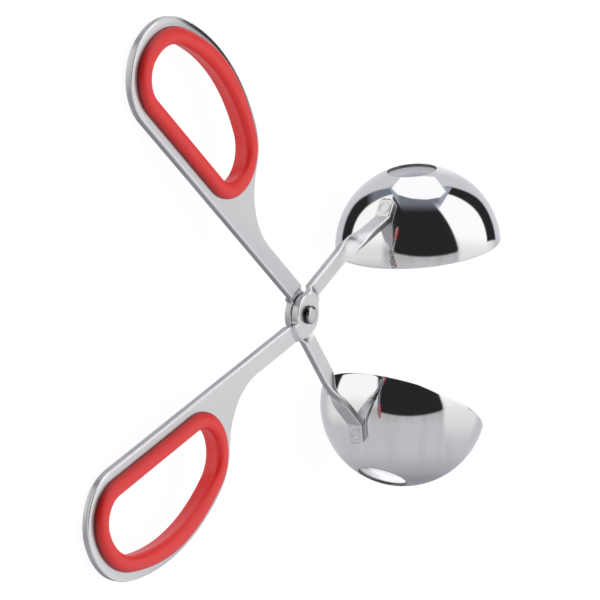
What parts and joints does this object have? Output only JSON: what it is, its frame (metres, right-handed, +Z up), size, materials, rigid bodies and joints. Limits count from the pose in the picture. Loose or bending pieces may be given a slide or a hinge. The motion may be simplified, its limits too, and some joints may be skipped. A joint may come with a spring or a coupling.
{
  "type": "meatball tongs",
  "caption": "Scissor tongs that shape meatballs: two steel halves on a rivet, each with a finger loop lined in red plastic and a half-sphere cup with a vent hole.",
  "frame": {"origin": "centre of the bounding box in plan, on the table the tongs lie on", "axes": "+X from the rivet to the cups, +Y to the upper cup, +Z up, near the hinge axis; the tongs lie on both cups and both grips, opened as in the picture"},
  "size_m": [0.1628, 0.1306, 0.0449],
  "materials": {
    "strip_steel": "satin stainless steel, tumbled, edges broken",
    "cup_steel": "mirror-polished stainless steel",
    "grip_red": "semi-gloss moulded plastic",
    "rivet_steel": "plain stainless steel"
  },
  "bodies": {
    "front_half": {"front_strip": "strip_steel", "upper_cup": "cup_steel", "lower_grip": "grip_red", "pivot_rivet": "rivet_steel"},
    "back_half": {"back_strip": "strip_steel", "lower_cup": "cup_steel", "upper_grip": "grip_red"}
  },
  "joints": [
    {"name": "pivot", "type": "hinge", "parent": "front_half", "child": "back_half", "pos_m": [0.00339, 0, 0.01419], "axis": [-0.1439, 0, 0.9896], "range_deg": [-20, 41.4]}
  ]
}
